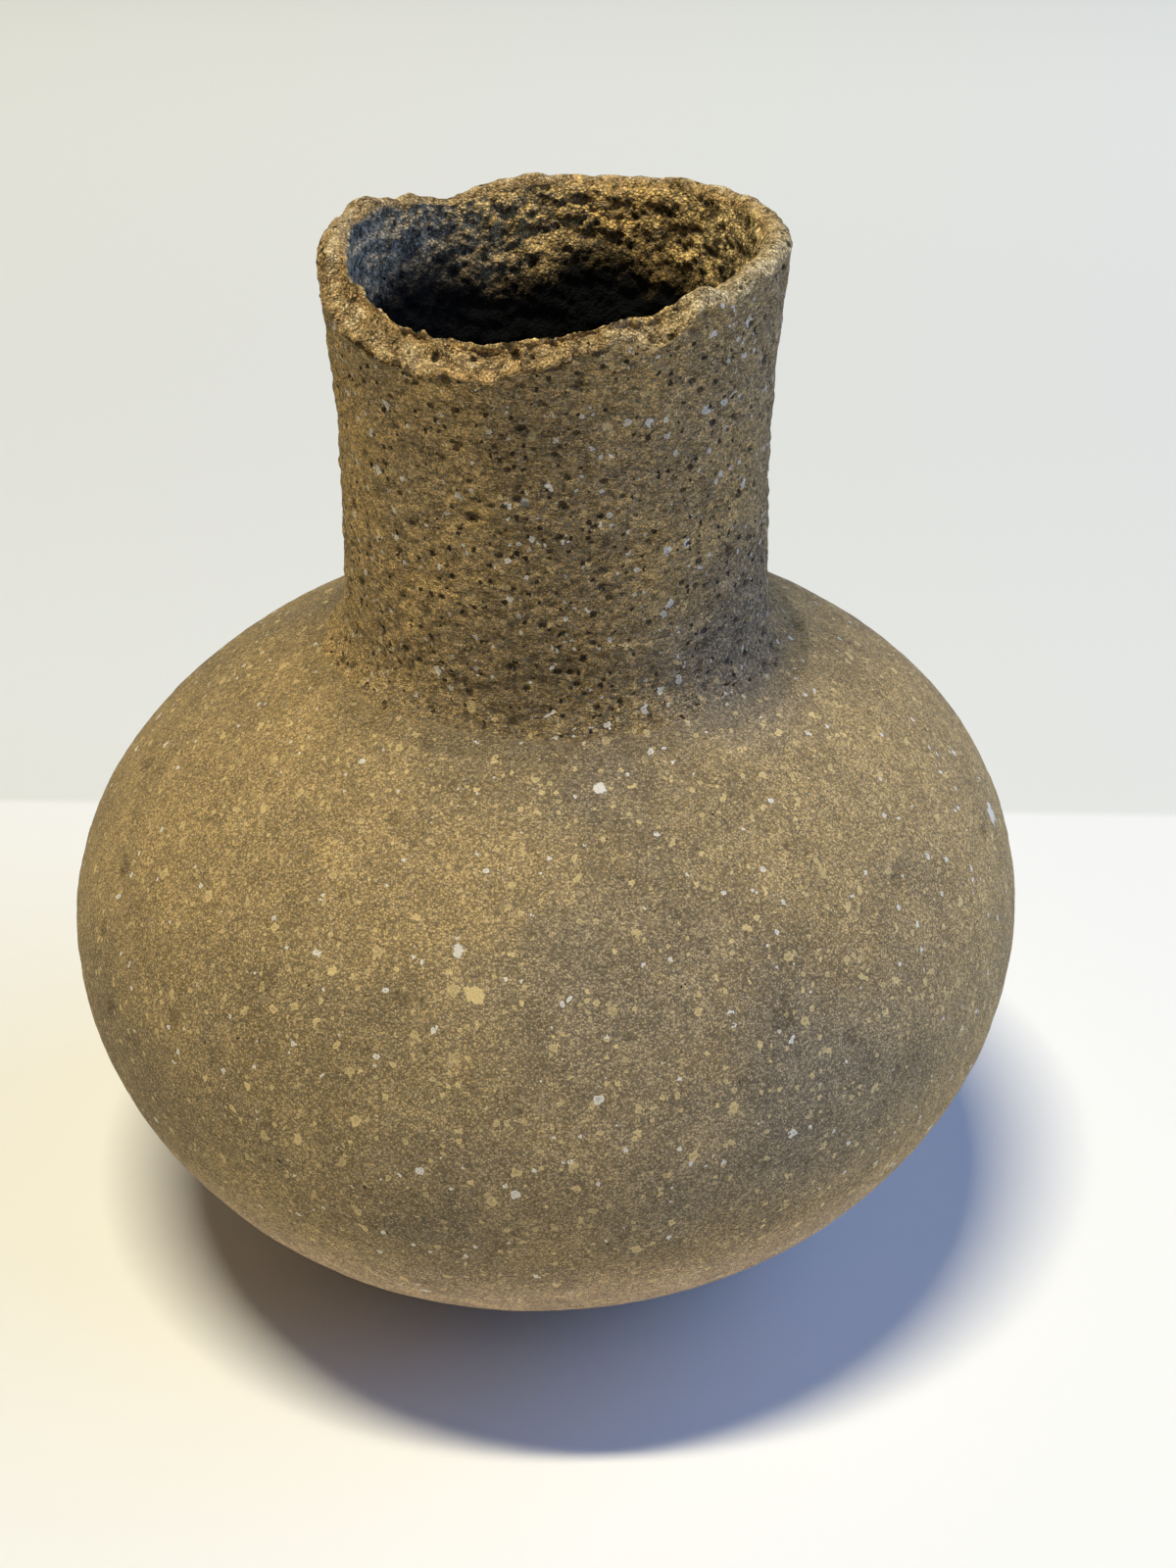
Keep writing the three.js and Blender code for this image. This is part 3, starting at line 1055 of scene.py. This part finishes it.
def fired_neck_clay(colours):
    material, tree, shader, vector = new_material("fired_neck_clay")
    foot = surface(tree, scraped_clay, vector, colours)
    neck = surface(tree, crumbled_clay, vector, colours)
    inside = surface(tree, smoked_clay, vector, colours)
    outside = merge(tree, mask_of(tree, "neck"), foot, neck)
    layers = merge(tree, mask_of(tree, "inside"), outside, inside)
    finish_surface(tree, shader, layers, 0.4)
    return material


def broken_clay(tree, vector, colours, inside):
    """The broken lip: tan clay with a pale core between its two faces"""
    mottle = noise(tree, vector, 2.6, 5.0, 0.7)
    core = sums(tree, "SUBTRACT", 1.0, sums(tree, "ABSOLUTE", sums(tree, "SUBTRACT", inside, 0.45)))
    paler = sums(tree, "MULTIPLY", stepped(tree, core, 0.6, 0.95), stepped(tree, mottle, 0.4, 0.65))
    given = given_to(tree, vector, colours, ["Worn", "Core", "Umber", "Pit", "Fleck", "Shell"])
    colour = mixed(tree, paler, given["Worn"], given["Core"])
    darker = stepped(tree, noise(tree, vector, 8, 4.0), 0.42, 0.62, 0.0, 0.7)
    colour = mixed(tree, darker, colour, given["Umber"])
    colour = clouded(tree, given, colour, [("Core", 0.5, (0.030, -0.020, 0.184), (1, 1, 1), 0.028)])
    colour = uneven(tree, colour, mottle, 0.35, 0.65, 0.5, 1.35)
    colour, relief = grained(tree, vector, colour, (given["Umber"], given["Fleck"]), 0.45, 0.6)
    colour = faded(tree, cracks(tree, vector, 5), 0.8, colour, given["Pit"])
    colour = dotted(tree, given, colour, [
        ("Pit", (-0.0296, -0.0187, 0.1843), 0.0016),
        ("Shell", (0.0315, -0.0221, 0.1788), 0.0010),
    ])
    colour, holes = pitted(tree, given, colour, (480, 0.55, 0.26), 0.85)
    return {
        "Color": colour,
        "Roughness": stepped(tree, mottle, 0.3, 0.7, 0.86, 0.97),
        "Height": sums(tree, "SUBTRACT", sums(tree, "ADD", relief, mottle), holes),
    }


def fired_rim_clay(colours):
    material, tree, shader, vector = new_material("fired_rim_clay")
    inside = mask_of(tree, "inside")
    outer = surface(tree, crumbled_clay, vector, colours)
    inner = surface(tree, smoked_clay, vector, colours)
    whole = merge(tree, inside, outer, inner)
    broken = broken_clay(tree, vector, colours, inside)
    ragged = noise(tree, vector, 5, 5.0, 0.7)
    edge = sums(tree, "MULTIPLY_ADD", ragged, 1.4, sums(tree, "SUBTRACT", mask_of(tree, "worn"), 0.7))
    layers = merge(tree, stepped(tree, edge, 0.25, 0.55), whole, broken)
    finish_surface(tree, shader, layers, 0.4)
    return material


def material_of(make, colours):
    return bpy.data.materials.get(make.__name__) or make(colours)


# The pieces

def settings_of(scene):
    """The wall, its shape, its surface and the colours of the clay"""
    return Wall(scene.bottle_shape), scene.bottle_shape, scene.bottle_surface, scene.bottle_colours


class BOTTLE_OT_base_bowl(bpy.types.Operator):
    """Pinches the bowl that the bottle starts from"""

    bl_idname = "bottle.base_bowl"
    bl_label = "Base Bowl"

    def execute(self, context):
        wall, shape, relief, colours = settings_of(context.scene)
        strips = bowl_strips(wall, shape.bowl_reach, relief.body_row, relief.hidden_row)
        material = material_of(fired_body_clay, colours)
        make_ring(context, "base_bowl", strips, relief.body_steps, material)
        return {"FINISHED"}


class BOTTLE_OT_body_coils(bpy.types.Operator):
    """Lays the coils of the body on the bowl"""

    bl_idname = "bottle.body_coils"
    bl_label = "Body Coils"

    def execute(self, context):
        wall, shape, relief, colours = settings_of(context.scene)
        edges = np.linspace(shape.bowl_reach, wall.shoulder_reach, len(BODY_COILS) + 1)
        material = material_of(fired_body_clay, colours)
        for node, low, high in zip(BODY_COILS, edges, edges[1:]):
            strips = coil_strips(wall, low, high, relief.body_row, relief.hidden_row)
            make_ring(context, node, strips, relief.body_steps, material)
        return {"FINISHED"}


class BOTTLE_OT_neck_coils(bpy.types.Operator):
    """Lays the coils of the neck on the body"""

    bl_idname = "bottle.neck_coils"
    bl_label = "Neck Coils"

    def execute(self, context):
        wall, shape, relief, colours = settings_of(context.scene)
        edges = np.linspace(wall.shoulder_reach, wall.lip_reach - shape.rim_reach, len(NECK_COILS) + 1)
        material = material_of(fired_neck_clay, colours)
        for node, low, high in zip(NECK_COILS, edges, edges[1:]):
            strips = coil_strips(wall, low, high, relief.neck_row, relief.neck_row)
            make_ring(context, node, strips, relief.neck_steps, material)
        return {"FINISHED"}


class BOTTLE_OT_rim_coil(bpy.types.Operator):
    """Finishes the neck with the coil of the worn and broken lip"""

    bl_idname = "bottle.rim_coil"
    bl_label = "Rim Coil"

    def execute(self, context):
        wall, shape, relief, colours = settings_of(context.scene)
        strips = rim_strips(wall, wall.lip_reach - shape.rim_reach, relief.neck_row)
        material = material_of(fired_rim_clay, colours)
        make_ring(context, "rim_coil", strips, relief.neck_steps, material)
        return {"FINISHED"}


# The stage

# How far the table's far edge slants back to the left, and the ground behind it that grows paler, as
# painted light where the lamp's light falls off
TABLE_SLANT = 0.0452
GROUND_START, GROUND_END = 0.3, 1.1
TABLE_SIZE = 4.0
TABLE_DROP = 0.05 * MILLIMETRE

LAMP_PLACE, LAMP_SIDES = (-0.38, -0.42, 3.0), (1.06, 0.14)
WINDOW_PLACE, WINDOW_SIDES = (1.8, -0.1, 1.15), (1.8, 2.6)

CAMERA_PLACE = (0.0, -0.3490, 0.2909)
CAMERA_DOWN, CAMERA_RIGHT = 0.5314, 0.0211
CAMERA_LENS, CAMERA_SENSOR = 51.75, 36.0


def table_material(stage):
    """The pale table, and the slightly greyer ground past its far edge"""
    material, tree, shader, vector = new_material("table_and_ground")
    place = axes(tree, vector)
    depth = sums(tree, "MULTIPLY_ADD", place["X"], TABLE_SLANT, place["Y"])
    # Painted light: the far ground is painted paler to make up for the lamp's light, which falls off with
    # distance
    far = stepped(tree, depth, GROUND_START, GROUND_END)
    ground = mixed(tree, far, (*stage.wall, 1.0), (*stage.distance, 1.0))
    past = stepped(tree, depth, stage.table_edge - 2 * MILLIMETRE, stage.table_edge + 2 * MILLIMETRE)
    colour = mixed(tree, past, (*stage.table, 1.0), ground)
    tree.links.new(colour, shader.inputs["Base Color"])
    shader.inputs["Roughness"].default_value = 0.6
    shader.inputs["Specular IOR Level"].default_value = 0.2
    return material


def make_table(context, stage):
    """The table and the ground, a hair below the bottle's resting face"""
    ground = bmesh.new()
    bmesh.ops.create_grid(ground, x_segments=8, y_segments=8, size=TABLE_SIZE)
    bmesh.ops.translate(ground, verts=ground.verts, vec=(0, 0, -TABLE_DROP))
    mesh = bpy.data.meshes.new("table_top")
    ground.to_mesh(mesh)
    ground.free()
    mesh.materials.append(table_material(stage))
    table = linked(context, "table_top", mesh)


def light_room(context, stage):
    """The soft light of the room, which the camera sees as a pale wall"""
    world = bpy.data.worlds.new("room")
    context.scene.world = world
    world.use_nodes = True
    tree = world.node_tree
    tree.nodes.clear()
    path = wire(tree, "ShaderNodeLightPath").outputs
    seen = sums(tree, "MAXIMUM", path["Is Camera Ray"], path["Is Glossy Ray"])
    seen = sums(tree, "MAXIMUM", seen, path["Is Transmission Ray"])
    light = {"Color": (*stage.roomlight, 1.0), "Strength": stage.room_strength}
    room = wire(tree, "ShaderNodeBackground", light)
    view = wire(tree, "ShaderNodeBackground", {"Color": (*stage.wall, 1.0), "Strength": 1.0})
    both = wire(tree, "ShaderNodeMixShader", {0: seen, 1: room.outputs[0], 2: view.outputs[0]})
    wire(tree, "ShaderNodeOutputWorld", {"Surface": both.outputs[0]})


def add_panel_light(context, name, colour, power, place, sides):
    """A rectangular light that faces the bottle, with its second side from front to back"""
    light = bpy.data.lights.new(name, "AREA")
    light.shape = "RECTANGLE"
    light.size, light.size_y = sides
    light.energy, light.color = power, colour
    holder = linked(context, name, light)
    holder.visible_camera = False
    holder.location = place
    towards = -Vector(place).normalized()
    holder.rotation_euler = (math.asin(towards.y), math.atan2(-towards.x, -towards.z), 0)


def set_camera(context):
    """The camera of the photograph, held in front of the bottle and looking down at it"""
    camera = bpy.data.cameras.new("camera")
    camera.lens, camera.sensor_width = CAMERA_LENS, CAMERA_SENSOR
    camera.clip_start = 0.01
    holder = linked(context, "camera", camera)
    holder.location = CAMERA_PLACE
    holder.rotation_euler = (math.pi / 2 - CAMERA_DOWN, 0.0, -CAMERA_RIGHT)
    context.scene.camera = holder


class BOTTLE_OT_stage(bpy.types.Operator):
    """Sets up the table, the lamps and the camera"""

    bl_idname = "bottle.stage"
    bl_label = "Stage"

    def execute(self, context):
        stage = context.scene.bottle_stage
        make_table(context, stage)
        light_room(context, stage)
        lamp = ("lamp_overhead", stage.lamplight, stage.lamp_power)
        add_panel_light(context, *lamp, LAMP_PLACE, LAMP_SIDES)
        window = ("window_on_the_right", stage.daylight, stage.window_power)
        add_panel_light(context, *window, WINDOW_PLACE, WINDOW_SIDES)
        set_camera(context)
        context.scene.view_settings.view_transform = "Standard"
        return {"FINISHED"}


SETTINGS = {
    "bottle_shape": BottleShape,
    "bottle_surface": BottleSurface,
    "bottle_colours": BottleColours,
    "bottle_stage": BottleStage,
}

OPERATORS = [
    BOTTLE_OT_stage,
    BOTTLE_OT_base_bowl,
    BOTTLE_OT_body_coils,
    BOTTLE_OT_neck_coils,
    BOTTLE_OT_rim_coil,
]


class BOTTLE_PT_panel(bpy.types.Panel):
    """Sizes, colours and pieces of the bottle"""

    bl_idname = "BOTTLE_PT_panel"
    bl_label = "Earthenware Bottle"
    bl_space_type = "VIEW_3D"
    bl_region_type = "UI"
    bl_category = "Bottle"

    def draw(self, context):
        for name, group in SETTINGS.items():
            box = self.layout.box()
            box.label(text=group.__doc__)
            for field in group.__annotations__:
                box.prop(getattr(context.scene, name), field)
        for operator in OPERATORS:
            self.layout.operator(operator.bl_idname)


CLASSES = [*SETTINGS.values(), *OPERATORS, BOTTLE_PT_panel]


def register():
    for item in CLASSES:
        bpy.utils.register_class(item)
    for name, group in SETTINGS.items():
        setattr(bpy.types.Scene, name, PointerProperty(type=group))


def unregister():
    for name in SETTINGS:
        delattr(bpy.types.Scene, name)
    for item in reversed(CLASSES):
        bpy.utils.unregister_class(item)


def main():
    register()
    bpy.ops.bottle.stage()
    bpy.ops.bottle.base_bowl()
    bpy.ops.bottle.body_coils()
    bpy.ops.bottle.neck_coils()
    bpy.ops.bottle.rim_coil()


if __name__ == "__main__":
    main()
